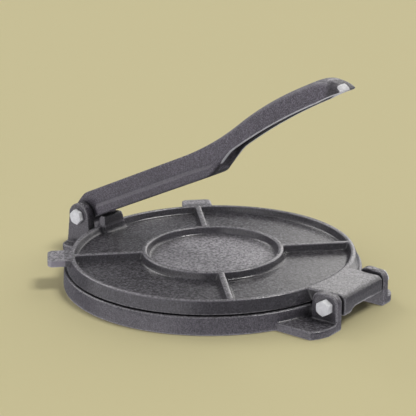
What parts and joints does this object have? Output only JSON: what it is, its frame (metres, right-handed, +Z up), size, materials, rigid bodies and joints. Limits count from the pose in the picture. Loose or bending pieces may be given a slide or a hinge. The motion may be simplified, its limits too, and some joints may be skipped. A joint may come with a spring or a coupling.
{
  "type": "tortilla press",
  "caption": "Hand press with two hinged round cast-iron plates and a long curved lever that presses the upper plate down to flatten balls of dough.",
  "frame": {"origin": "on the surface that the press stands on, under the centre of the round plates", "axes": "+Z up, +X from the centre towards the hinge of the upper plate, so the lever's fork is at -X; both bolts lie along Y, with their heads on the -Y side"},
  "size_m": [0.2535, 0.2108, 0.1551],
  "materials": {
    "base_iron": "rough cast, matt grey",
    "plate_iron": "rough cast, matt grey",
    "lever_iron": "rough cast, matt grey",
    "bolt_zinc": "zinc plated, pale and satin"
  },
  "bodies": {
    "base": {"base_plate": "base_iron", "hinge_bolt": "bolt_zinc", "hinge_nut": "bolt_zinc", "lever_bolt": "bolt_zinc", "lever_nut": "bolt_zinc"},
    "upper_plate": {"top_plate": "plate_iron"},
    "lever": {"lever": "lever_iron"}
  },
  "joints": [
    {"name": "lever_pivot", "type": "hinge", "parent": "base", "child": "lever", "pos_m": [-0.1155, 0, 0.027], "axis": [0, -1, 0], "range_deg": [0, 154]},
    {"name": "plate_hinge", "type": "hinge", "parent": "base", "child": "upper_plate", "pos_m": [0.1164, 0, 0.0159], "axis": [0, 1, 0], "range_deg": [0, 112]}
  ],
  "couplings": [
    {"joint": "plate_hinge", "follows": "lever_pivot", "ratio": 0.1}
  ]
}
